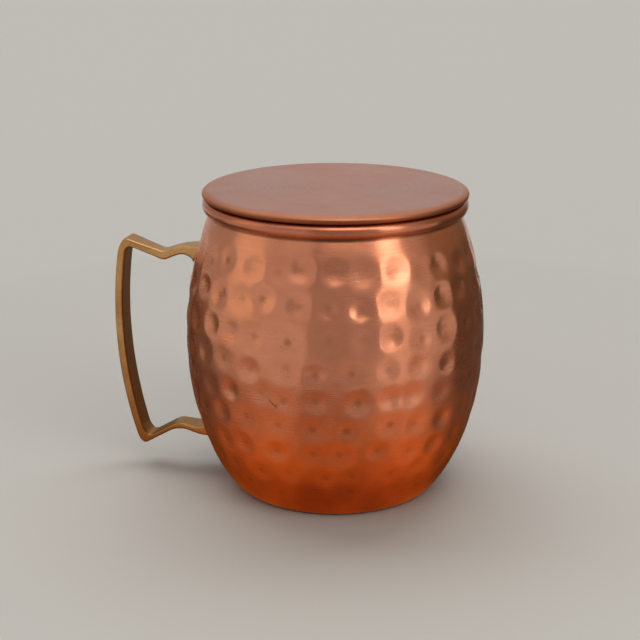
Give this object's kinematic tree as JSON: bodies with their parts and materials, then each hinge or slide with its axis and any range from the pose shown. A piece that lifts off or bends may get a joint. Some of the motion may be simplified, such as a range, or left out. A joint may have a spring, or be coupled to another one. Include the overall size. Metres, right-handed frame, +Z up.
{
  "type": "lidded barrel mug",
  "caption": "Barrel-shaped hammered copper mug with a rolled rim, an angular cast brass strap handle and a loose flat lid.",
  "frame": {"origin": "on the barrel's axis, on the plane that its flat bottom stands on", "axes": "+Z up along the barrel's axis; the handle points along -X; +Y completes a right-handed frame"},
  "size_m": [0.1218, 0.096, 0.098],
  "materials": {
    "copper_barrel": "hammered and finely brushed copper, satin",
    "brass_handle": "cast brass, filed and satin, slightly aged",
    "braze": "brazing filler, dressed smooth, dull",
    "copper_lid": "brushed copper, satin",
    "copper_plug": "spun copper, satin"
  },
  "bodies": {
    "mug": {"barrel": "copper_barrel", "handle": "brass_handle", "upper_braze": "braze", "lower_braze": "braze"},
    "lid": {"lid_cover": "copper_lid", "lid_plug": "copper_plug"}
  },
  "joints": [
    {"name": "lid_lift", "type": "slide", "parent": "mug", "child": "lid", "axis": [0, 0, 1], "range_m": [0, 0.1]}
  ]
}
